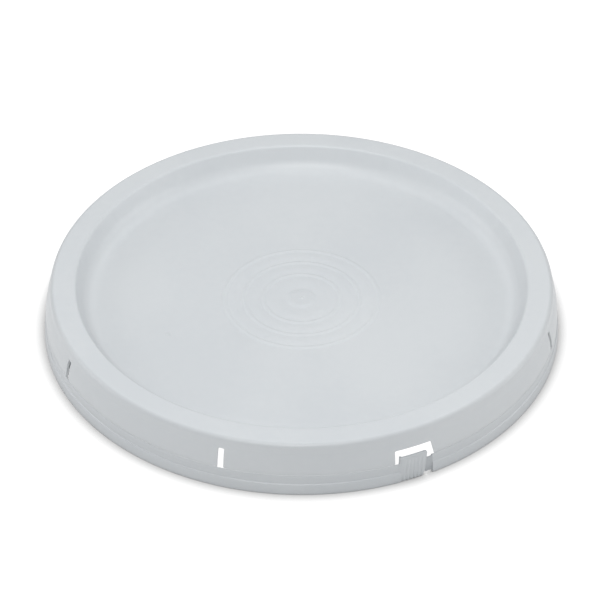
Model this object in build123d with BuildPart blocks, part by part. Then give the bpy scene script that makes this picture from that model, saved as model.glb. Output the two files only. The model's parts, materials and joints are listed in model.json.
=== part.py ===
from build123d import *
import os
from math import asin, cos, degrees, radians, sin, tan

# Push-on lid with a tear-off strip, for a plastic fermenting bucket. Millimetres.
# The origin is the centre of the footprint and +Z is up. The middle of the pull tab faces -Y.
# An azimuth is an angle in degrees from the pull tab, counter-clockwise seen from above.

# The bucket's rolled rim, which the lid is pressed over
rim_radius = 151.25
rim_width = 9.0
rim_height = 11.3

# How the lid fits that rim
rim_clearance = 0.35
mouth_clearance = 1.45
lip_bite = 1.35
lip_height = 3.0

# Overall height, and how far the skirt spreads from its crest to its foot
lid_height = 33.0
skirt_flare = 5.4

# Walls of the moulding
ring_wall = 2.0
skirt_wall = 2.0
plug_bead = 2.5
panel_wall = 2.2
plug_height = 3.5
plug_chamfer_height = 2.0
shoulder_drop = 6.0
shoulder_step = 0.8
skirt_bulge = 0.5
crest_fillet = 3.0
ring_edge_fillet = 2.0

# The recessed panel and the leaning wall round it
panel_depth = 14.8
panel_dish = 3.2
wall_lean = 24.0
foot_fillet = 7.0
foot_reach = 5.6

# Raised rings, boss and gate mark on the panel
panel_ring_radii = (47.5, 35.5, 23.6)
panel_ring_height = 0.15
panel_ring_half_width = 0.9
boss_radius = 12.5
boss_height = 0.3
gate_radius = 1.1
gate_height = 0.45

# Snap lip inside the skirt
lip_root_height = 1.6
lip_tip_height = 1.9
lip_tip_back = 0.45
lip_root_width = 3.6
lip_overlap = 0.8

# Gasket in the top of the channel
gasket_height = 3.5
gasket_edge = 1.2

# Tear strip
strip_flare = 1.5
strip_wall = 2.3
tear_gap = 0.3
groove_depth = 0.8
groove_rise = 1.15
ledge_drop = 6.3
ledge_height = 0.5
ledge_taper = 0.9
ledge_step = 0.35
strip_edge_fillet = 0.5

# Slots between the skirt's sections, and the window behind the pull tab
section_count = 8
slot_azimuth = 4.0
slot_width = 3.4
slot_height = 12.7
slot_corner = 0.6
window_left = 2.7
window_right = 3.6
window_height = 9.1
window_corner = 0.8

# Pull tab
tab_width = 17.5
tab_rise = 4.8
tab_plate = 1.6
tab_rib_height = 0.6
tab_rib_count = 7
tab_rib_pitch = 2.3
tab_margin = 1.0
tab_cut_width = 4.2
tab_cut_height = 7.4

# Breakaway web between the tab and the end of the strip
web_bottom = 2.7
web_top_drop = 1.0
web_wall = 0.8
web_recess = 1.7

# Hinged lengths of the strip next to the tab
hinge_pitch = 38.0
hinge_count = 3
hinge_gap = 0.3
tab_hinge_gap = 0.5

# Radii and heights that follow from the sizes above
channel_radius = rim_radius + rim_clearance
mouth_radius = rim_radius - rim_width
plug_radius = mouth_radius - mouth_clearance
crest_radius = channel_radius + skirt_wall
foot_radius = crest_radius + skirt_flare
tear_radius = foot_radius - strip_flare
ring_edge_radius = plug_radius - plug_bead
lip_radius = rim_radius - lip_bite

channel_top = lid_height - ring_wall
gasket_bottom = channel_top - gasket_height
plug_bottom = channel_top - plug_height
shoulder_z = lid_height - shoulder_drop
shoulder_radius = crest_radius + shoulder_step
catch_z = gasket_bottom - rim_height
tear_z = catch_z - lip_height
skirt_bottom = tear_z + tear_gap / 2
strip_top = tear_z - tear_gap / 2
strip_foot_fillet = min(strip_edge_fillet, (strip_top - ledge_drop) / 2)
cut_depth = strip_wall + skirt_wall + lip_bite + rim_clearance + skirt_flare

lean = tan(radians(wall_lean))
panel_edge_z = lid_height - panel_depth
panel_edge_radius = ring_edge_radius - panel_depth * lean
panel_radius = panel_edge_radius - foot_reach
panel_centre_z = panel_edge_z - panel_dish
wall_width = ring_wall / cos(radians(wall_lean))

# The strip runs clockwise from the tab, and its far end stands at the right side of the window
tab_half_angle = degrees(asin(tab_width / 2 / foot_radius))
tab_hinge_azimuth = -tab_half_angle - degrees(tab_hinge_gap / 2 / foot_radius)
hinge_azimuths = [tab_hinge_azimuth - hinge_pitch * turn for turn in range(hinge_count + 1)]
window_left_azimuth = -tab_half_angle - degrees(window_left / tear_radius)
window_right_azimuth = tab_half_angle + degrees(window_right / tear_radius)
section_pitch = 360 / section_count


def along(azimuth):
    """Direction of an azimuth as a unit vector."""
    angle = radians(azimuth - 90)
    return Vector(cos(angle), sin(angle), 0)


def section_plane(azimuth):
    """Plane through the lid's axis, with radius along x and height along y."""
    return Plane(origin=(0, 0, 0), x_dir=along(azimuth), z_dir=along(azimuth - 90))


def wall_plane(azimuth):
    """Plane that faces outward at the skirt, with height along y."""
    return Plane(origin=along(azimuth) * tear_radius, x_dir=along(azimuth + 90), z_dir=along(azimuth))


def panel_z(radius):
    """Height of the dished panel's top face."""
    return panel_centre_z + panel_dish * radius / panel_edge_radius


def wall_radius(z):
    """Radius of the leaning wall's underside."""
    return ring_edge_radius + wall_width - (lid_height - z) * lean


# Cross-section of the whole moulding above the tear line
with BuildSketch() as shell_section:
    with BuildLine():
        skirt_start = (tear_radius, skirt_bottom + groove_rise)
        shoulder = (shoulder_radius, shoulder_z)
        skirt_middle = (
            (tear_radius + shoulder_radius) / 2 + skirt_bulge,
            (skirt_start[1] + shoulder_z) / 2,
        )
        Line((tear_radius - groove_depth, skirt_bottom), skirt_start)
        ThreePointArc(skirt_start, skirt_middle, shoulder)
        outer_ring = panel_ring_radii[0] + panel_ring_half_width
        FilletPolyline(
            shoulder,
            (crest_radius, lid_height),
            (ring_edge_radius, lid_height),
            (panel_edge_radius, panel_edge_z),
            (outer_ring, panel_z(outer_ring)),
            radius=(crest_fillet, ring_edge_fillet, foot_fillet),
        )
        ripple = []
        for ring in panel_ring_radii:
            ripple.append((ring + panel_ring_half_width, panel_z(ring + panel_ring_half_width)))
            ripple.append((ring, panel_z(ring) + panel_ring_height))
            ripple.append((ring - panel_ring_half_width, panel_z(ring - panel_ring_half_width)))
        boss_top = panel_z(boss_radius) + boss_height
        Polyline(
            *ripple,
            (boss_radius + boss_height, panel_z(boss_radius)),
            (boss_radius, boss_top),
            (gate_radius + gate_height / 2, boss_top),
            (gate_radius, boss_top + gate_height),
            (0, boss_top + gate_height),
            (0, panel_centre_z - panel_wall),
        )
        panel_under_z = panel_edge_z - panel_wall
        chamfer_z = plug_bottom - plug_chamfer_height
        FilletPolyline(
            (0, panel_centre_z - panel_wall),
            (wall_radius(panel_under_z), panel_under_z),
            (wall_radius(chamfer_z), chamfer_z),
            radius=(foot_fillet + ring_wall,),
        )
        inner_shoulder = (shoulder_radius - skirt_wall, shoulder_z)
        Polyline(
            (wall_radius(chamfer_z), chamfer_z),
            (plug_radius, plug_bottom),
            (plug_radius, channel_top),
            (channel_radius, channel_top),
            inner_shoulder,
        )
        inner_bottom = (tear_radius - skirt_wall, skirt_bottom)
        ThreePointArc(inner_shoulder, (skirt_middle[0] - skirt_wall, skirt_middle[1]), inner_bottom)
        Line(inner_bottom, (tear_radius - groove_depth, skirt_bottom))
    make_face()
    lip_root = tear_radius - skirt_wall + lip_overlap
    with BuildLine():
        Polyline(
            (lip_root, catch_z + lip_root_height),
            (lip_radius + lip_tip_back, catch_z),
            (lip_radius, catch_z - lip_tip_height / 2),
            (lip_radius + lip_tip_back, catch_z - lip_tip_height),
            (lip_root - lip_root_width, skirt_bottom),
            (lip_root, skirt_bottom),
            close=True,
        )
    make_face()

# Cross-section of the tear strip, with its ledge and the groove under the tear line
with BuildSketch() as strip_section:
    with BuildLine():
        Polyline(
            (foot_radius - strip_wall, 0),
            (foot_radius, 0),
            (foot_radius - ledge_taper, strip_top - ledge_drop),
            (foot_radius - ledge_taper - ledge_step, strip_top - ledge_drop + ledge_height),
            (tear_radius, strip_top - groove_rise),
            (tear_radius - groove_depth, strip_top),
            (tear_radius - skirt_wall, strip_top),
            close=True,
        )
    make_face()
    fillet(strip_section.vertices().group_by(Axis.Y)[0], radius=strip_foot_fillet)


def shell_band(low, high, start=0.0, arc=360.0):
    """Part of the moulding between two (radius, z) corners, revolved from one azimuth."""
    with BuildPart() as band:
        with BuildSketch(section_plane(start)):
            add(shell_section.sketch_local)
            with Locations(((low[0] + high[0]) / 2, (low[1] + high[1]) / 2)):
                Rectangle(high[0] - low[0], high[1] - low[1], mode=Mode.INTERSECT)
        revolve(axis=Axis.Z, revolution_arc=arc)
    return band


def strip_length(start, end):
    """One length of the tear strip, from one azimuth clockwise to the other."""
    with BuildPart() as length:
        with BuildSketch(section_plane(end)):
            add(strip_section.sketch_local)
        revolve(axis=Axis.Z, revolution_arc=start - end)
    return length


def opening_outline(azimuth, width, height, corner):
    """Outline of a slot or window that stands on the tear line, with rounded top corners."""
    with BuildSketch(wall_plane(azimuth)) as outline:
        with Locations((0, tear_z)):
            Rectangle(width, height, align=(Align.CENTER, Align.MIN))
        fillet(outline.vertices().group_by(Axis.Y)[-1], radius=corner)
    return outline.sketch


# Moulding, in bands that meet face to face: panel, leaning plug wall, stacking ring, skirt sections
lid_panel = shell_band((0, 0), (panel_radius, lid_height))
plug_wall = shell_band((panel_radius, 0), (mouth_radius, lid_height))
stacking_ring = shell_band((mouth_radius, channel_top), (foot_radius, lid_height))

# The window and the slots are the gaps between one skirt section and the next
window_half_angle = radians(window_right_azimuth - window_left_azimuth) / 2
window_centre = (window_left_azimuth + window_right_azimuth) / 2
window_width = 2 * tear_radius * sin(window_half_angle)
gaps = [opening_outline(window_centre, window_width, window_height, window_corner)]
for position in range(1, section_count):
    gap_azimuth = slot_azimuth + section_pitch * position
    gaps.append(opening_outline(gap_azimuth, slot_width, slot_height, slot_corner))

skirt_sections = []
for position in range(section_count):
    section_azimuth = slot_azimuth + section_pitch * position
    band = shell_band((mouth_radius, 0), (foot_radius, channel_top), section_azimuth, section_pitch)
    with BuildPart() as skirt_section:
        add(band.part)
        for gap in (gaps[position], gaps[(position + 1) % section_count]):
            extrude(gap, amount=cut_depth, both=True, mode=Mode.SUBTRACT)
    skirt_sections.append(skirt_section)

# Gasket: a flat ring as wide as the bucket's rim, against the top of the channel
with BuildPart() as gasket_ring:
    with BuildSketch(Plane.XZ) as gasket_section:
        with Locations(((mouth_radius + rim_radius) / 2, (gasket_bottom + channel_top) / 2)):
            Rectangle(rim_width, gasket_height)
        fillet(gasket_section.vertices().group_by(Axis.Y)[0], radius=gasket_edge)
    revolve(axis=Axis.Z)

# Pull tab: a ribbed plate at the start of the strip that rises into the window
with BuildPart() as pull_tab:
    rib_centre_radius = foot_radius - tab_rib_height
    with BuildSketch() as tab_plan:
        with BuildLine():
            start_angle = -90 - tab_half_angle
            outer_arc = CenterArc((0, 0), rib_centre_radius, start_angle, 2 * tab_half_angle)
            inner_arc = CenterArc((0, 0), rib_centre_radius - tab_plate, start_angle, 2 * tab_half_angle)
            Line(outer_arc @ 0, inner_arc @ 0)
            Line(outer_arc @ 1, inner_arc @ 1)
        make_face()
        rib_spread = degrees(tab_rib_pitch / rib_centre_radius) * (tab_rib_count - 1)
        with PolarLocations(rib_centre_radius, tab_rib_count, -90 - rib_spread / 2, rib_spread, endpoint=True):
            Circle(tab_rib_height)
    extrude(amount=tear_z + tab_rise)
    with BuildSketch(wall_plane(0)):
        with BuildLine():
            half_width = tab_width / 2
            Polyline(
                (half_width - tab_cut_width, -tab_margin),
                (half_width - tab_cut_width, 0),
                (half_width, tab_cut_height),
                (half_width + tab_margin, tab_cut_height),
                (half_width + tab_margin, -tab_margin),
                close=True,
            )
        make_face()
    extrude(amount=strip_flare + strip_wall, both=True, mode=Mode.SUBTRACT)

# Tear strip: three hinged lengths after the tab, then the rest of the way round to the window
hinge_half_angle = degrees(hinge_gap / 2 / foot_radius)
tab_gap_half_angle = degrees(tab_hinge_gap / 2 / foot_radius)
tear_strip_1 = strip_length(hinge_azimuths[0] - tab_gap_half_angle, hinge_azimuths[1] + hinge_half_angle)
tear_strip_2 = strip_length(hinge_azimuths[1] - hinge_half_angle, hinge_azimuths[2] + hinge_half_angle)
tear_strip_3 = strip_length(hinge_azimuths[2] - hinge_half_angle, hinge_azimuths[3] + hinge_half_angle)
tear_strip_rest = strip_length(hinge_azimuths[3] - hinge_half_angle, window_right_azimuth - 360)

# Breakaway web: a thin recessed bridge at the end of the strip, which tears when the tab is pulled
with BuildPart() as breakaway_web:
    web_azimuth = tab_half_angle + degrees(hinge_gap / foot_radius)
    with BuildSketch(section_plane(web_azimuth)):
        with Locations((foot_radius - web_recess, web_bottom)):
            Rectangle(web_wall, strip_top - web_top_drop - web_bottom, align=(Align.MAX, Align.MIN))
    revolve(axis=Axis.Z, revolution_arc=window_right_azimuth - web_azimuth)

nodes = {
    "lid_panel": lid_panel,
    "plug_wall": plug_wall,
    "stacking_ring": stacking_ring,
    "gasket_ring": gasket_ring,
    "pull_tab": pull_tab,
    "tear_strip_1": tear_strip_1,
    "tear_strip_2": tear_strip_2,
    "tear_strip_3": tear_strip_3,
    "tear_strip_rest": tear_strip_rest,
    "breakaway_web": breakaway_web,
}
for number, skirt_section in enumerate(skirt_sections, start=1):
    nodes[f"skirt_section_{number}"] = skirt_section
os.makedirs("parts", exist_ok=True)
for name, node in nodes.items():
    node.part.label = name
    export_step(node.part, f"parts/{name}.step")
for azimuth in hinge_azimuths:
    axis_point = along(azimuth) * foot_radius
    print(f"hinge at azimuth {azimuth:.4f}: x {axis_point.X:.4f}, y {axis_point.Y:.4f}")
print(f"window from {window_left_azimuth:.3f} to {window_right_azimuth:.3f} degrees")
print(f"plug radius {plug_radius:.3f}, from z {plug_bottom:.3f} to {channel_top:.3f}")
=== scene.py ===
"""Push-on bucket lid with a tear-off strip, in satin white translucent plastic.

Each sub-assembly is a class that holds its sizes in millimetres, builds its meshes with numpy and
dresses them. Azimuths are degrees from the pull tab, counter-clockwise seen from above.
"""

from __future__ import annotations

import json
import logging
import math
from dataclasses import dataclass
from typing import Any, Sequence

import bpy
import numpy as np
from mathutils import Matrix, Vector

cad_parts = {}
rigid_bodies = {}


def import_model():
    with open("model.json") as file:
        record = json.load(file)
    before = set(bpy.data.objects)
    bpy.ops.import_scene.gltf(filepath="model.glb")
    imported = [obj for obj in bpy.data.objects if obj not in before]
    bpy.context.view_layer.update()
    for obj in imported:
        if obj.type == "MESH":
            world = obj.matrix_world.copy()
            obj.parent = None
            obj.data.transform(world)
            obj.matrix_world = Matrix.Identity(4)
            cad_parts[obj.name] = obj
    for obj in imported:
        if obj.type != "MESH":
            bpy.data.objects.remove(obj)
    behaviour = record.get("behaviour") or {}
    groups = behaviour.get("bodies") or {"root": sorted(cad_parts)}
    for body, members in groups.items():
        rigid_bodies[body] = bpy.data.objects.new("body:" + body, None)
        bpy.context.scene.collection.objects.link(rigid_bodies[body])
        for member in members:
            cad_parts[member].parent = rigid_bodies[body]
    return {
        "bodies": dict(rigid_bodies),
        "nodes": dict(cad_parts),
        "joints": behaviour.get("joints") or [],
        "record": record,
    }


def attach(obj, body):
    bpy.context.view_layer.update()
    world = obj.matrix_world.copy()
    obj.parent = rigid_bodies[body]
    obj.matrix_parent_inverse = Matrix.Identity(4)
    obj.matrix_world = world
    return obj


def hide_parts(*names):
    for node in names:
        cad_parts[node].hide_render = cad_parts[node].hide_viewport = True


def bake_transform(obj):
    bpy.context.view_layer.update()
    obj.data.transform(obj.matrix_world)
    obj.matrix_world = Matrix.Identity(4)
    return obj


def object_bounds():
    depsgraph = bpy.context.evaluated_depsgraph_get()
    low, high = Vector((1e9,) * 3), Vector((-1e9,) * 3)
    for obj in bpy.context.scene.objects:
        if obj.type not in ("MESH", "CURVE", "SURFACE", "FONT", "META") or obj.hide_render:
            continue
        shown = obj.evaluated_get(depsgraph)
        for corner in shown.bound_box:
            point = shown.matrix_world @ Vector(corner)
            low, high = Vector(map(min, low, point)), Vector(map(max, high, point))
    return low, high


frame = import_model()
cad_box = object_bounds()

log = logging.getLogger("bucket_lid")

MM = 0.001
SHARP_ANGLE = math.radians(38.0)


# --------------------------------------------------------------------------- shader expressions


class Socket:
    """A shader socket whose arithmetic adds Math nodes to its tree."""

    def __init__(self, sheet: "NodeSheet", output: bpy.types.NodeSocket) -> None:
        """Wraps an output socket of a sheet's node."""
        self.sheet = sheet
        self.output = output

    def _math(self, operation: str, first: Any, second: Any) -> "Socket":
        """Adds one Math node that works on two values or sockets."""
        return self.sheet.add("ShaderNodeMath", {"operation": operation}, {0: first, 1: second})[0]

    def __add__(self, other: Any) -> "Socket":
        """Sum."""
        return self._math("ADD", self, other)

    __radd__ = __add__

    def __sub__(self, other: Any) -> "Socket":
        """Difference."""
        return self._math("SUBTRACT", self, other)

    def __rsub__(self, other: Any) -> "Socket":
        """Difference with a plain number on the left."""
        return self._math("SUBTRACT", other, self)

    def __mul__(self, other: Any) -> "Socket":
        """Product."""
        return self._math("MULTIPLY", self, other)

    __rmul__ = __mul__

    def smooth(self, low: float, high: float) -> "Socket":
        """Eased step from 0 at low to 1 at high."""
        settings = {"interpolation_type": "SMOOTHSTEP", "clamp": True}
        inputs = {"Value": self, "From Min": low, "From Max": high}
        return self.sheet.add("ShaderNodeMapRange", settings, inputs)[0]


class NodeSheet:
    """The node tree of one material, filled through a single method."""

    def __init__(self, name: str) -> None:
        """Makes an empty material of that name.

        Args:
            name: The material's name.
        """
        self.material = bpy.data.materials.new(name)
        self.material.use_nodes = True
        self.tree = self.material.node_tree
        self.tree.nodes.clear()

    def add(self, kind: str, settings: dict[str, Any], inputs: dict[Any, Any]) -> list[Socket]:
        """Adds one node.

        Args:
            kind: The node's type.
            settings: The node's own settings, set first. "stops" are a ramp's positions and greys.
            inputs: Input sockets by name or number, each a value or a Socket.

        Returns:
            The node's enabled outputs.
        """
        node = self.tree.nodes.new(kind)
        for key, value in settings.items():
            if key == "stops":
                self._set_stops(node.color_ramp, value)
            else:
                setattr(node, key, value)
        for key, value in inputs.items():
            if isinstance(value, Socket):
                self.tree.links.new(value.output, node.inputs[key])
            else:
                node.inputs[key].default_value = value
        return [Socket(self, output) for output in node.outputs if output.enabled]

    @staticmethod
    def _set_stops(ramp: bpy.types.ColorRamp, stops: Sequence[tuple[float, Sequence[float]]]) -> None:
        """Gives a colour ramp its stops."""
        while len(ramp.elements) < len(stops):
            ramp.elements.new(0.5)
        for element, (position, colour) in zip(ramp.elements, stops):
            element.position = position
            element.color = (*colour, 1.0)

    def place(self) -> Socket:
        """Object coordinates, in metres."""
        found = self.add("ShaderNodeTexCoord", {}, {})
        return next(socket for socket in found if socket.output.name == "Object")

    def noise(
        self, scale: float, detail: float, roughness: float = 0.5, vector: Socket | None = None
    ) -> Socket:
        """Grey noise.

        Args:
            scale: Cells per metre.
            detail: Octaves.
            roughness: Share that each finer octave keeps.
            vector: Where the noise is read, or None for object coordinates.

        Returns:
            The noise value, from 0 to 1.
        """
        source = vector or self.place()
        inputs = {"Vector": source, "Scale": scale, "Detail": detail, "Roughness": roughness}
        return self.add("ShaderNodeTexNoise", {"noise_dimensions": "3D"}, inputs)[0]

    def radius(self) -> Socket:
        """Distance from the lid's axis, in metres."""
        inputs = {0: self.place(), 1: (1.0, 1.0, 0.0)}
        flat = self.add("ShaderNodeVectorMath", {"operation": "MULTIPLY"}, inputs)[0]
        return self.add("ShaderNodeVectorMath", {"operation": "LENGTH"}, {0: flat})[0]

    def scaled(self, colour: Socket, factor: Socket) -> Socket:
        """Colour multiplied by a factor."""
        return self.add("ShaderNodeVectorMath", {"operation": "SCALE"}, {0: colour, "Scale": factor})[0]

    def tint(self, factor: Socket, first: Sequence[float], second: Sequence[float]) -> Socket:
        """Colour that runs from first to second as factor goes from 0 to 1."""
        return self.add("ShaderNodeValToRGB", {"stops": ((0.0, first), (1.0, second))}, {0: factor})[0]

    def finished(self, shader: Socket) -> bpy.types.Material:
        """Sends a shader to the material's surface and returns the material."""
        self.add("ShaderNodeOutputMaterial", {}, {"Surface": shader})
        return self.material

    def relief(self, height: Socket, distance: float, strength: float) -> Socket:
        """Bump normal of a height, whose full range is distance metres deep."""
        inputs = {"Height": height, "Distance": distance, "Strength": strength}
        return self.add("ShaderNodeBump", {}, inputs)[0]


@dataclass(frozen=True)
class MouldedPlastic:
    """Satin polyethylene: milky, faintly cloudy, with gentle waves, fine orange peel and scuffs.

    The colour drifts between clear and cloudy by two noises. Scuffs are a noise stretched along one axis.
    Roughness follows the cloudiness, and scuffs lift it further in short fine strokes.
    """

    name: str
    clear: tuple[float, float, float]
    cloudy: tuple[float, float, float]
    roughness: float = 0.42
    scuff: float = 0.07
    peel_depth: float = 0.00003
    glow: float = 0.22
    glow_depth: float = 0.0009
    coat: float = 0.15
    coat_roughness: float = 0.28
    # Tones below 1 are painted shade and above 1 painted light, laid on the base colour by radius.
    skirt_painted_shade: float = 0.74
    wall_painted_shade: float = 0.95
    foot_painted_highlight: float = 1.025
    centre_painted_light: float = 1.012
    gate_painted_shade: float = 0.978

    def painted_light_by_radius(self, sheet: NodeSheet) -> Socket:
        """Painted light and shade by radius: painted shade on the skirt, which hangs in front of the dark
        channel, and on the leaning wall, a painted highlight at the foot of the wall, painted light on the
        ringed centre, and painted shade in a ring round the gate.

        Args:
            sheet: The material's sheet.

        Returns:
            The factor of painted light and shade on the base colour.
        """
        radius = sheet.radius()
        # Painted shade on the skirt, which hangs in front of the dark channel.
        skirt = radius.smooth(0.1508, 0.1535)
        # Painted shade on the leaning wall.
        wall = radius.smooth(0.1285, 0.1320) * (1.0 - radius.smooth(0.1375, 0.1392))
        # Painted light on the ringed centre.
        centre = 1.0 - radius.smooth(0.0480, 0.0495)
        # Painted shade in a ring round the gate.
        gate = radius.smooth(0.0015, 0.0030) * (1.0 - radius.smooth(0.0058, 0.0078))
        # Painted highlight at the foot of the leaning wall.
        foot = radius.smooth(0.1130, 0.1290) * (1.0 - radius.smooth(0.1300, 0.1335))
        painted_shade = skirt * (1.0 - self.skirt_painted_shade) + gate * (1.0 - self.gate_painted_shade)
        painted_shade = painted_shade + wall * (1.0 - self.wall_painted_shade)
        return 1.0 + centre * (self.centre_painted_light - 1.0) + foot * (self.foot_painted_highlight - 1.0) - painted_shade

    def material(self) -> bpy.types.Material:
        """Builds the material and returns it."""
        sheet = NodeSheet(self.name)
        broad = sheet.noise(9.0, 3.0)
        fine = sheet.noise(210.0, 2.0)
        cloud = (broad * 0.8 + fine * 0.2).smooth(0.34, 0.66)
        squeeze = {"Vector": sheet.place(), "Scale": (1.0, 0.16, 1.0)}
        stretched = sheet.add("ShaderNodeMapping", {"vector_type": "POINT"}, squeeze)[0]
        scuffs = sheet.noise(620.0, 4.0, 0.62, stretched).smooth(0.60, 0.74)
        peel = sheet.noise(850.0, 2.0)
        waves = sheet.noise(26.0, 2.0)
        # Painted light and shade by radius, multiplied into the base colour.
        painted_tone = self.painted_light_by_radius(sheet)
        relief = sheet.relief(waves * 0.75 + peel * 0.18 - scuffs * 0.07, self.peel_depth * 4.0, 0.55)
        shader = sheet.add(
            "ShaderNodeBsdfPrincipled",
            {"subsurface_method": "RANDOM_WALK"},
            {
                "Base Color": sheet.scaled(sheet.tint(cloud, self.clear, self.cloudy), painted_tone),
                "Roughness": cloud * 0.05 + scuffs * self.scuff + self.roughness,
                "IOR": 1.5,
                "Coat Weight": self.coat,
                "Coat Roughness": self.coat_roughness,
                "Subsurface Weight": self.glow,
                "Subsurface Radius": (1.0, 1.0, 1.0),
                "Subsurface Scale": self.glow_depth,
                "Normal": relief,
            },
        )[0]
        return sheet.finished(shader)


@dataclass(frozen=True)
class SealRubber:
    """Pale soft elastomer with a matte skin and fine pores."""

    name: str = "seal_rubber"
    light: tuple[float, float, float] = (0.50, 0.50, 0.47)
    dark: tuple[float, float, float] = (0.42, 0.42, 0.40)
    roughness: float = 0.72

    def material(self) -> bpy.types.Material:
        """Builds the material and returns it."""
        sheet = NodeSheet(self.name)
        mottle = sheet.noise(120.0, 3.0).smooth(0.35, 0.65)
        pores = sheet.noise(2200.0, 2.0)
        shader = sheet.add(
            "ShaderNodeBsdfPrincipled",
            {},
            {
                "Base Color": sheet.tint(mottle, self.dark, self.light),
                "Roughness": mottle * 0.08 + self.roughness,
                "Normal": sheet.relief(pores, 0.0001, 0.6),
            },
        )[0]
        return sheet.finished(shader)


@dataclass(frozen=True)
class TableTop:
    """White light table: it glows evenly, with a painted contact shadow where ambient occlusion cuts its
    glow round what stands on it.
    """

    name: str = "white_table"
    albedo: float = 0.12
    own_light: float = 1.0
    contact_shadow_reach: float = 0.012

    def material(self) -> bpy.types.Material:
        """Builds the material and returns it."""
        sheet = NodeSheet(self.name)
        # Painted contact shadow: the glow is cut where ambient occlusion finds something standing close.
        contact_shadow = sheet.add("ShaderNodeAmbientOcclusion", {"samples": 8}, {"Distance": self.contact_shadow_reach})
        glow = sheet.tint(contact_shadow[1].smooth(0.18, 1.02), (0.0, 0.0, 0.0), (1.0, 1.0, 1.0))
        shader = sheet.add(
            "ShaderNodeBsdfPrincipled",
            {},
            {
                "Base Color": (self.albedo, self.albedo, self.albedo, 1.0),
                "Roughness": 0.9,
                "Specular IOR Level": 0.0,
                "Emission Color": glow,
                "Emission Strength": self.own_light,
            },
        )[0]
        return sheet.finished(shader)


# --------------------------------------------------------------------------- outlines and meshes


def rounded_run(corners: Sequence[Sequence[float]], radii: Sequence[float], bends: int = 7) -> np.ndarray:
    """Open outline through corners, with an arc tangent to both runs at each inner corner.

    The arc's centre stands on the corner's bisector at radius / sin(half the inside angle), and its
    ends stand radius / tan(half the inside angle) back along each run.

    Args:
        corners: Points in the section, as (radius, height).
        radii: One radius for each inner corner, 0 for a sharp one.
        bends: Chords in each arc.

    Returns:
        The outline's points, in order.
    """
    points = np.asarray(corners, float)
    pieces = [points[:1]]
    for index, radius in enumerate(radii, start=1):
        corner = points[index]
        if radius <= 0.0:
            pieces.append(corner[None])
            continue
        back = points[index - 1] - corner
        ahead = points[index + 1] - corner
        back = back / np.linalg.norm(back)
        ahead = ahead / np.linalg.norm(ahead)
        if np.linalg.norm(back + ahead) < 1e-6:
            pieces.append(corner + ahead * radius * np.linspace(-0.5, 0.5, bends + 1)[:, None])
            continue
        half = math.acos(float(np.clip(back @ ahead, -1.0, 1.0))) / 2.0
        bisector = (back + ahead) / np.linalg.norm(back + ahead)
        centre = corner + bisector * radius / math.sin(half)
        arm = corner + back * radius / math.tan(half) - centre
        side = math.copysign(1.0, back[0] * ahead[1] - back[1] * ahead[0])
        turn = -side * np.linspace(0.0, math.pi - 2.0 * half, bends + 1)
        cosine, sine = np.cos(turn), np.sin(turn)
        swept = np.stack([arm[0] * cosine - arm[1] * sine, arm[0] * sine + arm[1] * cosine], axis=1)
        pieces.append(centre + swept)
    pieces.append(points[-1:])
    return np.concatenate(pieces)


def filled(points: np.ndarray, step: float) -> np.ndarray:
    """Open outline with every run longer than step cut into even parts.

    Args:
        points: Outline points, in order.
        step: Longest run that stays whole.

    Returns:
        The same outline with more points.
    """
    runs = np.diff(points, axis=0)
    counts = np.maximum(1, np.ceil(np.linalg.norm(runs, axis=1) / step).astype(int))
    which = np.repeat(np.arange(len(runs)), counts)
    first = np.repeat(np.cumsum(counts) - counts, counts)
    share = (np.arange(counts.sum()) - first) / np.repeat(counts, counts)
    return np.concatenate([points[which] + runs[which] * share[:, None], points[-1:]])


def rounded_loop(corners: Sequence[Sequence[float]], radii: Sequence[float], step: float) -> np.ndarray:
    """Closed outline through corners, each rounded by its own radius, with runs cut to step.

    Args:
        corners: Corner points, as (radius, height).
        radii: One radius for each corner.
        step: Longest run that stays whole.

    Returns:
        The loop's points, without the first repeated at the end.
    """
    points = np.asarray(corners, float)
    seam = (points[0] + points[-1]) / 2.0
    run = rounded_run([seam, *points, seam], radii, 4)
    return filled(run, step)[:-1]


def around(azimuths: np.ndarray, radius: np.ndarray, height: np.ndarray) -> np.ndarray:
    """Points at radius and height on each azimuth: x = r sin a, y = -r cos a, in metres.

    Args:
        azimuths: Degrees from the pull tab, one for each column or one for each point.
        radius: Radii in millimetres, as rows by columns.
        height: Heights in millimetres, as rows by columns.

    Returns:
        An array of rows by columns by three.
    """
    angle = np.radians(np.atleast_2d(azimuths))
    radius, height, angle = np.broadcast_arrays(radius, height, angle)
    return np.stack([radius * np.sin(angle), -radius * np.cos(angle), height], axis=-1) * MM


def grid_faces(numbers: np.ndarray, keep: np.ndarray | None = None) -> np.ndarray:
    """Faces between neighbouring rows and columns of a grid of vertex numbers.

    Args:
        numbers: Vertex numbers, as rows by columns; a closed direction repeats its first line.
        keep: True for each face to keep, or None for all.

    Returns:
        Faces as an array of four vertex numbers each.
    """
    faces = np.stack([numbers[:-1, :-1], numbers[1:, :-1], numbers[1:, 1:], numbers[:-1, 1:]], axis=-1)
    return faces.reshape(-1, 4) if keep is None else faces[keep]


def swept_faces(shape: tuple[int, int], ring: bool = False) -> list[list[int]]:
    """Faces of a closed section carried along a path: its sides, and its two ends or the seam.

    Args:
        shape: Points round the section, and columns along the path.
        ring: True where the path closes on itself, False where flat ends close the piece.

    Returns:
        The faces' vertex numbers.
    """
    numbers = np.arange(shape[0] * shape[1]).reshape(shape)
    closed = np.concatenate([numbers, numbers[:1]], axis=0)
    if ring:
        return grid_faces(np.concatenate([closed, closed[:, :1]], axis=1)).tolist()
    return [*grid_faces(closed).tolist(), numbers[:, 0].tolist(), numbers[::-1, -1].tolist()]


def fan_faces(centre: int, ring: np.ndarray) -> list[list[int]]:
    """Triangles between a centre point and a ring of points whose first is repeated at the end.

    Args:
        centre: The centre's vertex number.
        ring: The ring's vertex numbers.

    Returns:
        The triangles' vertex numbers.
    """
    return np.stack([np.full(len(ring) - 1, centre), ring[:-1], ring[1:]], axis=1).tolist()


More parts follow.
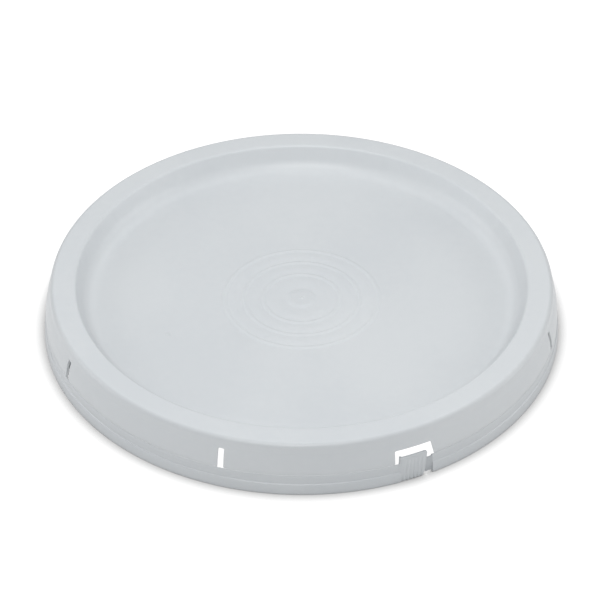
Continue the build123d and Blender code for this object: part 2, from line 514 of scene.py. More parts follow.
def make_piece(
    name: str, points: np.ndarray, faces: Sequence[Sequence[int]], finish: bpy.types.Material
) -> bpy.types.Object:
    """Makes a closed smooth piece that faces outward.

    Args:
        name: The piece's name.
        points: Vertices in metres, one per line.
        faces: Vertex numbers of each face.
        finish: The piece's material.

    Returns:
        The new object, at the origin.
    """
    mesh = bpy.data.meshes.new(name)
    mesh.from_pydata(points.reshape(-1, 3), [], faces)
    mesh.validate()
    corners = np.zeros(len(mesh.loop_triangles) * 3, np.int32)
    mesh.loop_triangles.foreach_get("vertices", corners)
    a, b, c = (points.reshape(-1, 3)[corners.reshape(-1, 3)[:, k]] for k in range(3))
    if np.einsum("ij,ij->i", a, np.cross(b, c)).sum() < 0.0:
        mesh.flip_normals()
    mesh.shade_smooth()
    mesh.set_sharp_from_angle(angle=SHARP_ANGLE)
    mesh.materials.append(finish)
    piece = bpy.data.objects.new(name, mesh)
    bpy.context.scene.collection.objects.link(piece)
    return piece


def quarter_round(distance: np.ndarray, radius: float) -> np.ndarray:
    """How far a rounded edge falls back at a distance from the edge: r - sqrt(r^2 - (r - d)^2).

    Args:
        distance: Distances from the edge, below 0 outside it.
        radius: The edge's rounding.

    Returns:
        The setback, radius at the edge and 0 from radius inward.
    """
    inside = np.clip(radius - distance, 0.0, radius)
    return radius - np.sqrt(np.maximum(radius**2 - inside**2, 0.0))


# --------------------------------------------------------------------------- sizes


@dataclass(frozen=True)
class LidSizes:
    """Sizes in millimetres that the sub-assemblies share."""

    foot_radius: float
    lid_height: float
    plug_radius: float
    hinge_azimuths: tuple[float, ...]
    ring_wall: float = 2.0
    skirt_wall: float = 2.0
    skirt_flare: float = 5.4
    strip_flare: float = 1.5
    tear_height: float = 13.2
    tear_line: float = 0.02
    groove_depth: float = 0.22
    groove_rise: float = 1.15
    window_left: float = -4.137
    window_right: float = 4.464
    window_top: float = 22.3
    slot_top: float = 25.9
    slot_width: float = 3.4
    slot_azimuth: float = 4.0
    section_count: int = 8

    @property
    def tear_radius(self) -> float:
        """Skirt radius at the tear line."""
        return self.foot_radius - self.strip_flare

    @property
    def crest_radius(self) -> float:
        """Outer corner of the stacking ring, before it is rounded."""
        return self.foot_radius - self.skirt_flare

    def openings(self) -> list[tuple[float, float, float]]:
        """Left azimuth, right azimuth and top of the window and of each slot."""
        half = math.degrees(self.slot_width / 2.0 / self.tear_radius)
        pitch = 360.0 / self.section_count
        found = [(self.window_left, self.window_right, self.window_top)]
        for position in range(1, self.section_count):
            middle = self.slot_azimuth + pitch * position
            found.append((middle - half, middle + half, self.slot_top))
        return found

    @classmethod
    def from_frame(cls, packed: dict[str, Any]) -> "LidSizes":
        """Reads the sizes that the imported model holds.


        Returns:
            The shared sizes.
        """
        hinges = {joint["name"]: joint["pos_m"] for joint in packed["joints"] if joint["type"] == "hinge"}
        order = ("tab_hinge", "strip_hinge_1", "strip_hinge_2", "strip_hinge_3")
        places = [hinges[name] for name in order]
        azimuths = tuple(math.degrees(math.atan2(place[0], -place[1])) for place in places)
        plug = next(mount for mount in packed["record"]["mounts"] if mount["name"] == "plug")
        return cls(
            foot_radius=math.hypot(places[0][0], places[0][1]) / MM,
            lid_height=cad_box[1][2] / MM,
            plug_radius=plug["dims"]["r_mm"],
            hinge_azimuths=azimuths,
        )


# --------------------------------------------------------------------------- lid moulding


@dataclass(frozen=True)
class LidMoulding:
    """Panel, plug wall, stacking ring and slotted skirt as one skin."""

    sizes: LidSizes
    plug_bead: float = 2.5
    plug_height: float = 3.5
    plug_chamfer: float = 2.0
    panel_depth: float = 14.8
    panel_dish: float = 3.2
    panel_wall: float = 2.2
    wall_lean: float = 24.0
    foot_fillet: float = 12.0
    ring_edge_fillet: float = 2.0
    crest_fillet: float = 3.0
    shoulder_drop: float = 6.0
    shoulder_step: float = 0.8
    skirt_bulge: float = 0.5
    channel_radius: float = 151.6
    lip_radius: float = 149.9
    catch_height: float = 16.2
    ring_radii: tuple[float, ...] = (47.5, 35.5, 23.6)
    ring_height: float = 0.45
    ring_half_width: float = 1.9
    swell_height: float = 0.42
    boss_radius: float = 9.8
    boss_slope: float = 3.4
    boss_height: float = 0.62
    gate_radius: float = 1.1
    gate_height: float = 0.45
    edge_rounding: float = 0.35
    corner_rounding: float = 0.8
    window_lean: float = 0.31
    lean_reach: float = 1.3
    draft: float = 0.45
    draft_fade: float = 7.0
    column_count: int = 300
    edge_columns: tuple[float, ...] = (0.0, 0.08, 0.22, 0.45, 0.9)

    def panel_height(self, radius: np.ndarray) -> np.ndarray:
        """Top of the panel: a parabola, plus a bump (1 + cos) / 2 at each ring, swells sin^2 between
        rings, a flat boss whose side is (1 - cos) / 2, and the gate's nub 1 - (r / R)^2.

        Args:
            radius: Radii in millimetres.

        Returns:
            Heights in millimetres.
        """
        edge = self.sizes.lid_height - self.panel_depth
        height = edge - self.panel_dish * (1.0 - (radius / self.panel_edge) ** 2)
        for ring in self.ring_radii:
            offset = np.clip((radius - ring) / self.ring_half_width, -1.0, 1.0)
            height = height + self.ring_height * (1.0 + np.cos(math.pi * offset)) / 2.0
        bounds = (*self.ring_radii, self.boss_radius)
        for outer, inner in zip(bounds[:-1], bounds[1:]):
            share = np.clip((radius - inner) / (outer - inner), 0.0, 1.0)
            height = height + self.swell_height * np.sin(math.pi * share) ** 2
        side = np.clip((self.boss_radius - radius) / self.boss_slope, 0.0, 1.0)
        height = height + self.boss_height * (1.0 - np.cos(math.pi * side)) / 2.0
        nub = np.clip(1.0 - (radius / self.gate_radius) ** 2, 0.0, 1.0)
        return height + self.gate_height * nub

    @property
    def panel_edge(self) -> float:
        """Radius where the leaning wall's line meets the panel."""
        return self.ring_edge - self.panel_depth * math.tan(math.radians(self.wall_lean))

    @property
    def ring_edge(self) -> float:
        """Inner corner of the stacking ring, before it is rounded."""
        return self.sizes.plug_radius - self.plug_bead

    def skirt_radius(self, height: np.ndarray) -> np.ndarray:
        """Outer skirt between tear line and shoulder: a line plus a parabolic bulge.

        Args:
            height: Heights in millimetres.

        Returns:
            Radii in millimetres.
        """
        low = self.sizes.tear_height + self.sizes.groove_rise
        high = self.sizes.lid_height - self.shoulder_drop
        shoulder = self.sizes.crest_radius + self.shoulder_step
        share = (height - low) / (high - low)
        line = self.sizes.tear_radius + (shoulder - self.sizes.tear_radius) * share
        return line + self.skirt_bulge * 4.0 * share * (1.0 - share)

    def top_run(self) -> np.ndarray:
        """Outline from the axis over panel, wall and ring down to the shoulder."""
        sizes = self.sizes
        edge = sizes.lid_height - self.panel_depth
        fine = np.linspace(0.0, self.ring_radii[0] + 2.5, 101)
        coarse = np.linspace(self.ring_radii[0] + 8.0, self.panel_edge - 16.0, 9)
        flat = np.concatenate([fine, coarse])
        panel = np.stack([flat, self.panel_height(flat)], axis=1)
        shoulder = (sizes.crest_radius + self.shoulder_step, sizes.lid_height - self.shoulder_drop)
        corners = [
            panel[-1],
            (self.panel_edge, edge),
            (self.ring_edge, sizes.lid_height),
            (sizes.crest_radius, sizes.lid_height),
            shoulder,
        ]
        rim = rounded_run(corners, (self.foot_fillet, self.ring_edge_fillet, self.crest_fillet), 9)
        return np.concatenate([panel[:-1], filled(rim, 5.0)])

    def skirt_levels(self) -> np.ndarray:
        """Heights of the skirt's rows, from under the shoulder to the groove."""
        sizes = self.sizes
        above = np.array([26.5, sizes.slot_top, 24.8, 23.8, 23.0])
        below = np.array([sizes.window_top, 21.0, 19.7, 18.4, 17.0, 15.7])
        return np.concatenate([above, below, [sizes.tear_height + sizes.groove_rise]])

    def under_run(self) -> np.ndarray:
        """Outline from the skirt's inner side round channel, plug and panel back to the axis."""
        sizes = self.sizes
        slope = math.tan(math.radians(self.wall_lean))
        width = sizes.ring_wall / math.cos(math.radians(self.wall_lean))
        channel_top = sizes.lid_height - sizes.ring_wall
        plug_bottom = channel_top - self.plug_height
        chamfer = plug_bottom - self.plug_chamfer
        under = sizes.lid_height - self.panel_depth - self.panel_wall
        wall = [self.ring_edge + width - (sizes.lid_height - level) * slope for level in (chamfer, under)]
        shoulder = sizes.lid_height - self.shoulder_drop
        inner_shoulder = sizes.crest_radius + self.shoulder_step - sizes.skirt_wall
        corners = [
            (inner_shoulder, shoulder),
            (self.channel_radius, channel_top),
            (sizes.plug_radius, channel_top),
            (sizes.plug_radius, plug_bottom),
            (wall[0], chamfer),
            (wall[1], under),
            (self.panel_edge - 16.0, under - 0.3),
        ]
        rim = rounded_run(corners, (0.8, 0.8, 0.7, 0.6, self.foot_fillet + sizes.ring_wall), 5)
        flat = np.linspace(self.panel_edge - 24.0, 0.0, 16)
        panel = np.stack([flat, self.panel_height(flat) - self.panel_wall], axis=1)
        panel[-1, 1] -= self.gate_height + self.boss_height
        return np.concatenate([filled(rim, 6.0), panel])

    def lip_run(self) -> np.ndarray:
        """Outline of the snap lip and the skirt's bottom edge, from inside to outside."""
        sizes = self.sizes
        inner = self.skirt_radius(np.array([self.catch_height + 1.8]))[0] - sizes.skirt_wall
        bottom = sizes.tear_height + sizes.tear_line
        corners = [
            (inner, self.catch_height + 1.8),
            (inner - 0.2, self.catch_height + 1.3),
            (self.lip_radius + 0.2, self.catch_height),
            (self.lip_radius + 0.1, self.catch_height - 1.9),
            (152.1, bottom),
            (sizes.tear_radius - sizes.groove_depth, bottom),
        ]
        return filled(rounded_run(corners, (0.8, 0.6, 0.7, 0.3), 4), 2.5)

    def columns(self) -> np.ndarray:
        """Azimuths of the mesh's columns, even all round and closer beside every opening."""
        base = np.arange(self.column_count) * 360.0 / self.column_count - 180.0
        per_mm = 1.0 / math.radians(self.sizes.tear_radius)
        offsets = np.array(self.edge_columns) * per_mm
        extra = []
        kept = np.ones(len(base), bool)
        for left, right, _ in self.sizes.openings():
            left, right = ((value + 180.0) % 360.0 - 180.0 for value in (left, right))
            edges = (left - offsets, left + offsets[1:], right + offsets, right - offsets[1:])
            extra.append(np.concatenate(edges))
            for edge in (left, right):
                kept &= np.abs(base - edge) > offsets[-1] * 1.3
        return np.unique(np.round(np.concatenate([base[kept], *extra]), 6))

    def window_shift(self, azimuths: np.ndarray, height: np.ndarray) -> np.ndarray:
        """Turn that makes the window's right side lean: nothing above the window, back at its top
        corner and forward at the tear line, fading by a raised cosine on either side of the edge.

        Args:
            azimuths: The columns' azimuths in degrees.
            height: Heights in millimetres, as rows by columns.

        Returns:
            The turn in degrees, as rows by columns.
        """
        sizes = self.sizes
        stops = (sizes.tear_height, sizes.window_top, sizes.window_top + 3.0)
        lean = np.interp(height, stops, (self.window_lean, -self.window_lean, 0.0))
        away = np.clip(np.abs(azimuths - sizes.window_right) / self.lean_reach, 0.0, 1.0)
        return lean * (1.0 + np.cos(math.pi * away))[None] / 2.0

    def opening_draft(self, azimuths: np.ndarray, depth: np.ndarray) -> np.ndarray:
        """Turn that widens each opening towards its inside, as the mould's draft does: draft times
        the depth at the opening's edge, falling in a straight line to nothing on either side.

        Args:
            azimuths: The columns' azimuths in degrees.
            depth: How far inside the skirt's outer face each row lies, as rows by columns.

        Returns:
            The turn in degrees, as rows by columns.
        """
        per_degree = math.radians(self.sizes.tear_radius)
        share = np.zeros(len(azimuths))
        for left, right, _ in self.sizes.openings():
            half = (right - left) / 2.0
            across = (azimuths - left - half + 180.0) % 360.0 - 180.0
            away = np.abs(across) - half
            beside = np.clip(1.0 - away * per_degree / self.draft_fade, 0.0, 1.0)
            within = np.clip(1.0 + away / half, 0.0, 1.0)
            share += np.sign(across) * np.where(away > -1e-6, beside, within)
        return share[None] * np.clip(depth, 0.0, None) * self.draft / per_degree

    def build(self, finish: bpy.types.Material) -> bpy.types.Object:
        """Carries the section round the axis, leaving out the faces of every opening below its top
        row, and closes each opening with two side walls and a head.

        Args:
            finish: The plastic.

        Returns:
            The moulding.
        """
        sizes = self.sizes
        top = self.top_run()
        levels = self.skirt_levels()
        skirt = np.stack([self.skirt_radius(levels), levels], axis=1)
        lip = self.lip_run()[::-1]
        inner_levels = levels[levels > self.catch_height + 2.0][::-1]
        inner = np.stack([self.skirt_radius(inner_levels) - sizes.skirt_wall, inner_levels], axis=1)
        section = np.concatenate([top, skirt, lip, inner, self.under_run()])
        azimuths = self.columns()
        radius = np.repeat(section[:, :1], len(azimuths), axis=1)
        height = np.repeat(section[:, 1:], len(azimuths), axis=1)
        first_outer = len(top)
        first_inner = first_outer + len(levels) + len(lip)
        per_degree = math.radians(sizes.tear_radius)
        keep = np.ones((len(section) - 1, len(azimuths)), bool)
        openings = []
        for left, right, head in sizes.openings():
            left, right = ((value + 180.0) % 360.0 - 180.0 for value in (left, right))
            outside = np.maximum(left - azimuths, azimuths - right) * per_degree
            outer_row = first_outer + int(np.argmin(np.abs(levels - head)))
            inner_row = first_inner + int(np.argmin(np.abs(inner_levels - head)))
            rows = slice(outer_row + 1, first_outer + len(levels) + 1)
            setback = np.where(outside >= -1e-6, quarter_round(outside, self.edge_rounding), 0.0)
            radius[rows] -= setback[None]
            within = (outside <= 1e-6)[None]
            drop = np.where(within[0], quarter_round(-outside, self.corner_rounding), 0.0)
            for row in (outer_row, inner_row):
                height[row] -= drop
            a, b = int(np.argmin(np.abs(azimuths - left))), int(np.argmin(np.abs(azimuths - right)))
            keep[outer_row:inner_row, a:b] = False
            openings.append((a, b, outer_row, inner_row))
        skirt_rows = slice(first_outer, first_inner + len(inner_levels))
        turned = np.repeat(azimuths[None], len(section), axis=0)
        turned[skirt_rows] += self.window_shift(azimuths, height[skirt_rows])
        inner_rows = slice(first_outer + len(levels), first_inner + len(inner_levels))
        outer_face = self.skirt_radius(np.maximum(height[inner_rows], sizes.tear_height + sizes.groove_rise))
        depth = outer_face - radius[inner_rows]
        turned[inner_rows] += self.opening_draft(azimuths, depth)
        grid = around(turned, radius, height)
        numbers = np.arange(len(section) * len(azimuths)).reshape(len(section), -1)
        closed = np.concatenate([numbers, numbers[:, :1]], axis=1)
        faces = grid_faces(closed[1:-1], keep[1:-1]).tolist()
        faces += fan_faces(closed[0, 0], closed[1])
        faces += fan_faces(closed[-1, 0], closed[-2][::-1])
        for a, b, outer_row, inner_row in openings:
            faces.append(numbers[outer_row : inner_row + 1, a].tolist())
            faces.append(numbers[outer_row : inner_row + 1, b][::-1].tolist())
            head_rows = np.stack([numbers[outer_row, a : b + 1], numbers[inner_row, a : b + 1]])
            faces += grid_faces(head_rows).tolist()
        points = grid.reshape(-1, 3)
        piece = make_piece("lid_moulding", points, faces, finish)
        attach(piece, "lid")
        skirts = [f"skirt_section_{number}" for number in range(1, sizes.section_count + 1)]
        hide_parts("lid_panel", "plug_wall", "stacking_ring", *skirts)
        return piece


@dataclass(frozen=True)
class GasketSeal:
    """Soft ring in the top of the channel, with two sealing lands."""

    inner_radius: float = 142.25
    outer_radius: float = 151.25
    top: float = 31.0
    depth: float = 3.5
    land: float = 0.35
    chamfer_width: float = 0.3
    chamfer_height: float = 0.4
    column_count: int = 240

    def build(self, finish: bpy.types.Material) -> bpy.types.Object:
        """Closed section carried round: flat top, and an underside that dips by a raised cosine
        twice across its width.

        Args:
            finish: The rubber.

        Returns:
            The gasket.
        """
        across = np.linspace(0.0, 1.0, 17)
        width = self.outer_radius - self.inner_radius
        edge = 1.0 - np.clip(np.minimum(across, 1.0 - across) / 0.12, 0.0, 1.0)
        lands = self.land * np.sin(2.0 * math.pi * across) ** 2
        under = self.top - self.depth + self.land - lands + (1.0 - np.sqrt(1.0 - (edge * 0.98) ** 2)) * 1.1
        radii = self.inner_radius + width * across
        lower = np.stack([radii, under], axis=1)
        upper = np.array(
            [
                [self.outer_radius, self.top - self.chamfer_height],
                [self.outer_radius - self.chamfer_width, self.top],
                [self.inner_radius + self.chamfer_width, self.top],
                [self.inner_radius, self.top - self.chamfer_height],
            ]
        )
        loop = np.concatenate([lower, upper])
        azimuths = np.linspace(0.0, 360.0, self.column_count, endpoint=False)
        grid = around(azimuths, loop[:, :1], loop[:, 1:])
        piece = make_piece("gasket_seal", grid.reshape(-1, 3), swept_faces(grid.shape[:2], True), finish)
        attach(piece, "lid")
        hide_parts("gasket_ring")
        return piece


# --------------------------------------------------------------------------- tear strip


@dataclass(frozen=True)
class TearStrip:
    """The skirt's lower band in rigid lengths, with a short length laid over each hinge."""

    sizes: LidSizes
    wall: float = 2.3
    ledge_drop: float = 6.4
    ledge_height: float = 0.5
    ledge_taper: float = 0.75
    ledge_step: float = 0.6
    roundings: tuple[float, ...] = (0.35, 0.35, 0.15, 0.3, 0.3, 0.08, 0.15)
    longest_run: float = 1.6
    inner_drop: float = 1.9
    flex_reach: float = 7.0
    flex_columns: int = 29
    columns_per_degree: float = 1.0

    def corners(self) -> list[tuple[float, float]]:
        """Corners of the strip's section, from the inner foot round the outside."""
        sizes = self.sizes
        top = sizes.tear_height - sizes.tear_line
        foot = sizes.foot_radius
        return [
            (foot - self.wall, 0.0),
            (foot, 0.0),
            (foot - self.ledge_taper, top - self.ledge_drop),
            (foot - self.ledge_taper - self.ledge_step, top - self.ledge_drop + self.ledge_height),
            (sizes.tear_radius, top - sizes.groove_rise),
            (sizes.tear_radius - sizes.groove_depth, top),
            (sizes.tear_radius - sizes.skirt_wall, top - self.inner_drop),
        ]

    def section(self) -> np.ndarray:
        """The strip's closed section, with soft edges."""
        return rounded_loop(self.corners(), self.roundings, self.longest_run)

    def carried(
        self, name: str, start: float, end: float, count: int, finish: bpy.types.Material
    ) -> bpy.types.Object:
        """The section carried along the rim from one azimuth to another, with flat ends.

        Args:
            name: The piece's name.
            start: First azimuth.
            end: Last azimuth.
            count: Columns.
            finish: The plastic.

        Returns:
            The piece.
        """
        loop = self.section()
        azimuths = np.linspace(start, end, count)
        grid = around(azimuths, loop[:, :1], loop[:, 1:])
        return make_piece(name, grid.reshape(-1, 3), swept_faces(grid.shape[:2]), finish)

    def hinge_point(self, azimuth: float, shift: float) -> tuple[float, float, float]:
        """Point on the hinge circle, moved along the tangent by shift millimetres, in metres."""
        angle = math.radians(azimuth)
        radius = self.sizes.foot_radius
        x = radius * math.sin(angle) + shift * math.cos(angle)
        y = -radius * math.cos(angle) + shift * math.sin(angle)
        return (x * MM, y * MM, self.sizes.tear_height / 2.0 * MM)

    def build(self, finish: bpy.types.Material, tab_end: float) -> list[bpy.types.Object]:
        """Makes the strip's lengths and a short length over each hinge.

        Args:
            finish: The plastic.
            tab_end: Azimuth where the tab's own moulding takes over.

        Returns:
            The pieces.
        """
        sizes = self.sizes
        flex = math.degrees(self.flex_reach / sizes.foot_radius)
        bodies = ("strip_first", "strip_second", "strip_third", "tear_strip")
        nodes = ("tear_strip_1", "tear_strip_2", "tear_strip_3", "tear_strip_rest")
        hinges = sizes.hinge_azimuths
        starts = [tab_end, *(azimuth - flex for azimuth in hinges[1:])]
        ends = [*(azimuth + flex for azimuth in hinges[1:]), sizes.window_right - 360.0]
        made = []
        for body, node, start, end in zip(bodies, nodes, starts, ends):
            count = int(abs(end - start) * self.columns_per_degree) + 2
            piece = self.carried(f"band_{node}", end, start, count, finish)
            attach(piece, body)
            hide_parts(node)
            made.append(piece)
        for number, azimuth in enumerate(hinges[1:], start=1):
            piece = self.carried(f"flex_{number}", azimuth - flex, azimuth + flex, self.flex_columns, finish)
            reach = self.flex_reach * 0.9
            start, end = self.hinge_point(azimuth, -reach), self.hinge_point(azimuth, reach)
            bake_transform(piece)
            made.append(piece)
        return made


@dataclass(frozen=True)
class PullTab:
    """Ribbed grip at the start of the strip, moulded on with its own thin root."""

    strip: TearStrip
    half_width: float = 8.75
    free_side: float = 7.9
    top: float = 18.0
    outer_radius: float = 158.4
    plate: float = 1.6
    rib_height: float = 0.42
    rib_pitch: float = 2.35
    rib_count: int = 6
    rib_top: float = 14.6
    cut_start: float = 4.6
    cut_width: float = 3.3
    cut_height: float = 3.6
    flare: float = 0.5
    root_reach: float = 2.0
    corner: float = 1.2
    roundings: tuple[float, ...] = (0.35, 0.25, 0.25, 0.3, 0.5, 0.5)

    @property
    def root_end(self) -> float:
        """Azimuth where the strip's first length takes over from the tab's moulding."""
        reach = math.degrees((self.root_reach + 1.2) / self.strip.sizes.foot_radius)
        return self.strip.sizes.hinge_azimuths[0] - reach

    def loop_corners(self) -> list[tuple[float, float]]:
        """Corners of the tab's section, matched one to one with the strip's."""
        inner, outer = self.outer_radius - self.plate, self.outer_radius
        return [
            (inner, 0.0),
            (outer, 0.0),
            (outer, self.top * 0.38),
            (outer, self.top * 0.42),
            (outer, self.top * 0.86),
            (outer, self.top),
            (inner, self.top),
        ]

    def ribs(self, across: np.ndarray) -> np.ndarray:
        """Rib height across the tab: ((1 + cos) / 2) ^ 0.8 at the rib pitch, 0 outside the ribbed part.

        Args:
            across: Distance from the tab's middle in millimetres.

        Returns:
            Heights in millimetres.
        """
        half = self.rib_pitch * self.rib_count / 2.0
        phase = 2.0 * math.pi * (across + half) / self.rib_pitch
        wave = ((1.0 - np.cos(phase)) / 2.0) ** 0.8
        return np.where(np.abs(across) < half, self.rib_height * wave, 0.0)

    def build(self, finish: bpy.types.Material) -> bpy.types.Object:
        """Section carried from the strip's end to the tab's free side. It changes from the strip's
        section to the plate's over the root, its top steps up at the slot, ribs stand on its
        outside, its lower corner is cut back by a curve, and its side edges are rounded.

        Args:
            finish: The plastic.

        Returns:
            The tab.
        """
        sizes = self.strip.sizes
        per_degree = math.radians(sizes.foot_radius)
        left, right = -self.half_width, self.free_side
        root = self.root_end * per_degree
        across = np.concatenate(
            [
                np.linspace(root, left - 0.04, 9),
                [left + 0.04, left + 0.15, left + 0.35],
                np.linspace(left + 0.6, right - 0.6, 108),
                right - np.array([0.4, 0.22, 0.1, 0.03, 0.0]),
            ]
        )
        strip_corners, tab_corners = self.strip.corners(), self.loop_corners()
        strip_loop = rounded_run([*strip_corners, strip_corners[0]], self.strip.roundings[1:], 4)
        tab_loop = rounded_run([*tab_corners, tab_corners[0]], self.roundings, 4)
        share = np.linspace(0.0, 1.0, len(strip_loop) * 3 - 2)
        steps = np.linspace(0.0, 1.0, len(strip_loop))
        blend = [
            np.stack([np.interp(share, steps, run[:, k]) for k in (0, 1)], axis=1)[:-1]
            for run in (strip_loop, tab_loop)
        ]
        ease = np.clip((across - (left - 0.6)) / 2.2, 0.0, 1.0)
        ease = ease * ease * (3.0 - 2.0 * ease)
        rise = (across > left).astype(float)
        radius = blend[0][:, :1] * (1.0 - ease) + blend[1][:, :1] * ease
        height = blend[0][:, 1:] * (1.0 - rise) + blend[1][:, 1:] * rise
        outside = np.clip((radius - radius.min(axis=0)) / np.ptp(radius, axis=0), 0.0, 1.0)
        fade = np.clip((self.rib_top - height) / 1.6, 0.0, 1.0)
        radius = radius + self.ribs(across)[None] * outside * fade * fade * (3.0 - 2.0 * fade)
        bottom = self.cut_height * np.clip((across - self.cut_start) / self.cut_width, 0.0, 1.0) ** 2.0
        ceiling = height.max(axis=0) - quarter_round(right - across, self.corner)
        ceiling = ceiling - np.where(rise > 0.0, quarter_round(across - left, self.corner * 0.6), 0.0)
        span = height.max(axis=0)
        height = bottom + height / span * (ceiling - bottom)
        pinch = quarter_round(right - across, 0.4) / self.plate
        middle = (radius.max(axis=0) + radius.min(axis=0)) / 2.0
        radius = radius + (middle - radius) * pinch * 1.6
        beside = np.clip((across - right + 3.0) / 3.0, 0.0, 1.0)
        lean = self.flare * beside * np.clip((height - 8.0) / 8.0, -0.2, 1.0)
        angle = across / per_degree + (lean - self.flare * 0.35) / per_degree * (across > 0)
        points = around(angle, radius, height)
        piece = make_piece("pull_tab_grip", points.reshape(-1, 3), swept_faces(points.shape[:2]), finish)
        hinge = sizes.hinge_azimuths[0]
        start = self.strip.hinge_point(hinge, -self.root_reach)
        end = self.strip.hinge_point(hinge, self.root_reach)
        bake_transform(piece)
        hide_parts("pull_tab")
        return piece


@dataclass(frozen=True)
class BreakawayWeb:
    """Thin recessed bridge between the tab and the end of the strip."""

    sizes: LidSizes
    left: float = 2.98
    bottom: float = 1.0
    top: float = 12.0
    outer_radius: float = 157.6
    wall: float = 0.8
    sag: float = 0.5
    column_count: int = 15

    def build(self, finish: bpy.types.Material) -> bpy.types.Object:
        """Closed thin section carried across the notch, its lower edge bowed up by a parabola.

        Args:
            finish: The web's plastic, darkened as painted shade for its recess.

        Returns:
            The web.
        """
        azimuths = np.linspace(self.left, self.sizes.window_right, self.column_count)
        share = np.linspace(-1.0, 1.0, self.column_count)
        corners = [
            (self.outer_radius - self.wall, 0.0),
            (self.outer_radius, 0.0),
            (self.outer_radius, 1.0),
            (self.outer_radius - self.wall, 1.0),
        ]
        loop = filled(np.array([*corners, corners[0]]), 0.2)[:-1]
        low = self.bottom + self.sag * (1.0 - share**2)
        high = self.top - self.sag * 0.6 * (1.0 - share**2)
        height = low[None] + loop[:, 1:] * (high - low)[None]
        dent = 0.25 * (1.0 - share**2) * np.sin(math.pi * loop[:, 1:])
        grid = around(azimuths, loop[:, :1] - dent, height)
        piece = make_piece("breakaway_bridge", grid.reshape(-1, 3), swept_faces(grid.shape[:2]), finish)
        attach(piece, "tear_strip")
        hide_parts("breakaway_web")
        return piece


# --------------------------------------------------------------------------- mould marks


@dataclass(frozen=True)
class EjectorMarks:
    """Low round marks that the mould's pins leave on the panel."""

    moulding: LidMoulding
    places: tuple[tuple[float, float], ...] = ((88.6, -89.9),)
    pin_radius: float = 1.7
    lift: float = 0.28
    clearance: float = 0.01
    sink: float = 0.25

    def mark(self, name: str, place: tuple[float, float], finish: bpy.types.Material) -> bpy.types.Object:
        """One mark: a dome 1 - t^2 on the panel, closed by a flat face sunk in the plastic.

        Args:
            name: The piece's name.
            place: Its radius in millimetres and azimuth in degrees.
            finish: The plastic.

        Returns:
            The mark.
        """
        radius, azimuth = place
        share = np.linspace(0.0, 1.0, 14)
        turn = np.linspace(0.0, 2.0 * math.pi, 48, endpoint=False)
        angle = math.radians(azimuth)
        x = radius * math.sin(angle) + self.pin_radius * share[:, None] * np.cos(turn)
        y = -radius * math.cos(angle) + self.pin_radius * share[:, None] * np.sin(turn)
        ground = self.moulding.panel_height(np.hypot(x, y))
        z = ground + self.lift * (1.0 - share[:, None] ** 2) + self.clearance
        z[-1] = ground[-1] - self.sink
        dome = np.stack([x, y, z], axis=-1)
        numbers = np.arange(dome.shape[0] * dome.shape[1]).reshape(dome.shape[:2])
        closed = np.concatenate([numbers, numbers[:, :1]], axis=1)
        faces = grid_faces(closed[1:]).tolist() + fan_faces(closed[0, 0], closed[1])
        faces.append(numbers[-1][::-1].tolist())
        piece = make_piece(name, dome.reshape(-1, 3) * MM, faces, finish)
        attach(piece, "lid")
        return piece

    def build(self, finish: bpy.types.Material) -> list[bpy.types.Object]:
        """Makes every mark and returns them."""
        return [self.mark(f"ejector_mark_{n}", place, finish) for n, place in enumerate(self.places, 1)]


# --------------------------------------------------------------------------- studio


@dataclass(frozen=True)
class SoftLamp:
    """Round soft lamp that looks at the lid. Its azimuth is counted from the camera's."""

    name: str
    azimuth: float
    elevation: float
    distance: float
    size: float
    power: float

    def build(self, camera_azimuth: float, aim: Sequence[float]) -> None:
        """Makes the lamp.

        Args:
            camera_azimuth: The camera's azimuth in degrees.
            aim: The point that it looks at.
        """
        data = bpy.data.lights.new(self.name, "AREA")
        data.shape = "DISK"
        data.size = self.size
        data.energy = self.power
        turn = math.radians(camera_azimuth + self.azimuth)
        rise = math.radians(self.elevation)
        out = np.array([math.sin(turn) * math.cos(rise), -math.cos(turn) * math.cos(rise), math.sin(rise)])
        lamp = bpy.data.objects.new(self.name, data)
        lamp.location = np.array(aim) + out * self.distance
        lamp.rotation_euler = (math.pi / 2.0 - rise, 0.0, turn)
        bpy.context.scene.collection.objects.link(lamp)


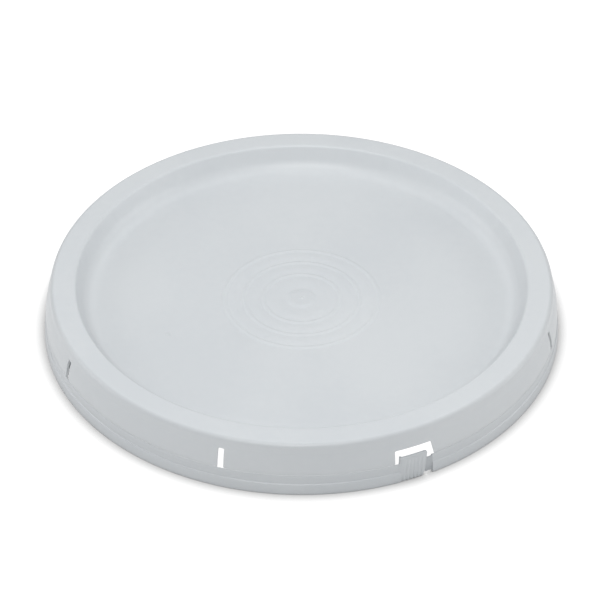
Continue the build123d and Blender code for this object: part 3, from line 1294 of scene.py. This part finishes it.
@dataclass(frozen=True)
class Studio:
    """White table, even white surroundings, three soft lamps, and the camera."""

    camera_distance: float = 1.431
    camera_azimuth: float = -24.05
    camera_elevation: float = 39.42
    aim: tuple[float, float, float] = (0.0, 0.0, 0.0165)
    look_pitch: float = 38.99
    look_pan: float = 0.05
    look_roll: float = 0.13
    lens: float = 138.06
    sensor: float = 36.0
    surround: float = 0.55
    lamps: tuple[SoftLamp, ...] = (
        SoftLamp("key", -6.0, 58.0, 1.7, 1.0, 14.0),
        SoftLamp("left", -95.0, 22.0, 1.3, 0.8, 4.0),
        SoftLamp("right", 95.0, 22.0, 1.3, 0.8, 4.0),
    )
    table_size: float = 24.0

    def build_table(self) -> bpy.types.Object:
        """Makes the white table."""
        half = self.table_size / 2.0
        points = np.array([[-half, -half, 0.0], [half, -half, 0.0], [half, half, 0.0], [-half, half, 0.0]])
        mesh = bpy.data.meshes.new("table_top")
        mesh.from_pydata(points, [], [(0, 1, 2, 3)])
        mesh.materials.append(TableTop().material())
        table = bpy.data.objects.new("table_top", mesh)
        bpy.context.scene.collection.objects.link(table)
        return table

    def build_lights(self) -> None:
        """Makes the even surroundings and the lamps."""
        world = bpy.data.worlds.new("studio")
        bpy.context.scene.world = world
        world.use_nodes = True
        background = world.node_tree.nodes["Background"]
        background.inputs["Color"].default_value = (0.985, 0.995, 1.0, 1.0)
        background.inputs["Strength"].default_value = self.surround
        for lamp in self.lamps:
            lamp.build(self.camera_azimuth, self.aim)

    @staticmethod
    def turned(first: int, second: int, degrees: float) -> np.ndarray:
        """Rotation that turns the first axis towards the second.

        Args:
            first: Number of the first axis.
            second: Number of the second axis.
            degrees: The angle.

        Returns:
            A matrix of three by three.
        """
        angle = math.radians(degrees)
        matrix = np.eye(3)
        matrix[first, first] = matrix[second, second] = math.cos(angle)
        matrix[first, second] = -math.sin(angle)
        matrix[second, first] = math.sin(angle)
        return matrix

    def build_camera(self) -> bpy.types.Object:
        """Makes the camera: it stands back from the base centre, looks down and forward, and is
        rolled a little about its own line of sight.

        Returns:
            The camera.
        """
        azimuth = math.radians(self.camera_azimuth)
        elevation = math.radians(self.camera_elevation)
        out = np.array(
            [
                math.sin(azimuth) * math.cos(elevation),
                -math.cos(azimuth) * math.cos(elevation),
                math.sin(elevation),
            ]
        )
        data = bpy.data.cameras.new("camera")
        data.lens = self.lens
        data.sensor_width = self.sensor
        data.clip_start = 0.05
        data.clip_end = 60.0
        camera = bpy.data.objects.new("camera", data)
        heading = self.turned(0, 1, self.camera_azimuth + self.look_pan)
        tilt = self.turned(1, 2, 90.0 - self.look_pitch)
        matrix = np.eye(4)
        matrix[:3, :3] = heading @ tilt @ self.turned(0, 1, self.look_roll)
        matrix[:3, 3] = out * self.camera_distance
        camera.matrix_world = matrix.T
        bpy.context.scene.collection.objects.link(camera)
        bpy.context.scene.camera = camera
        return camera


# --------------------------------------------------------------------------- assembly


def main(packed: dict[str, Any]) -> None:
    """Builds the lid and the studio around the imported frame.
    """
    logging.basicConfig(level=logging.INFO, format="%(name)s: %(message)s")
    sizes = LidSizes.from_frame(packed)
    log.info("foot radius %.2f mm, height %.2f mm", sizes.foot_radius, sizes.lid_height)
    shell = MouldedPlastic("white_hdpe_shell", (0.600, 0.626, 0.648), (0.630, 0.654, 0.672)).material()
    # The strip's plastic is the shell's plastic darkened as painted shade.
    band = MouldedPlastic("white_hdpe_strip", (0.570, 0.597, 0.620), (0.600, 0.625, 0.645)).material()
    # The web's plastic is the shell's plastic darkened further, as painted shade in its recess.
    thin = MouldedPlastic("white_hdpe_web", (0.470, 0.496, 0.520), (0.500, 0.524, 0.545)).material()
    seal = SealRubber().material()
    moulding = LidMoulding(sizes)
    strip = TearStrip(sizes)
    tab = PullTab(strip)
    made = [
        moulding.build(shell),
        GasketSeal().build(seal),
        *strip.build(band, tab.root_end),
        tab.build(band),
        BreakawayWeb(sizes).build(thin),
        *EjectorMarks(moulding).build(shell),
    ]
    for piece in made:
        log.info("%s: %d vertices, %d faces", piece.name, len(piece.data.vertices), len(piece.data.polygons))
    studio = Studio()
    studio.build_table()
    studio.build_lights()
    studio.build_camera()
    bpy.context.scene.view_settings.view_transform = "Standard"


if __name__ == "__main__":
    main(frame)
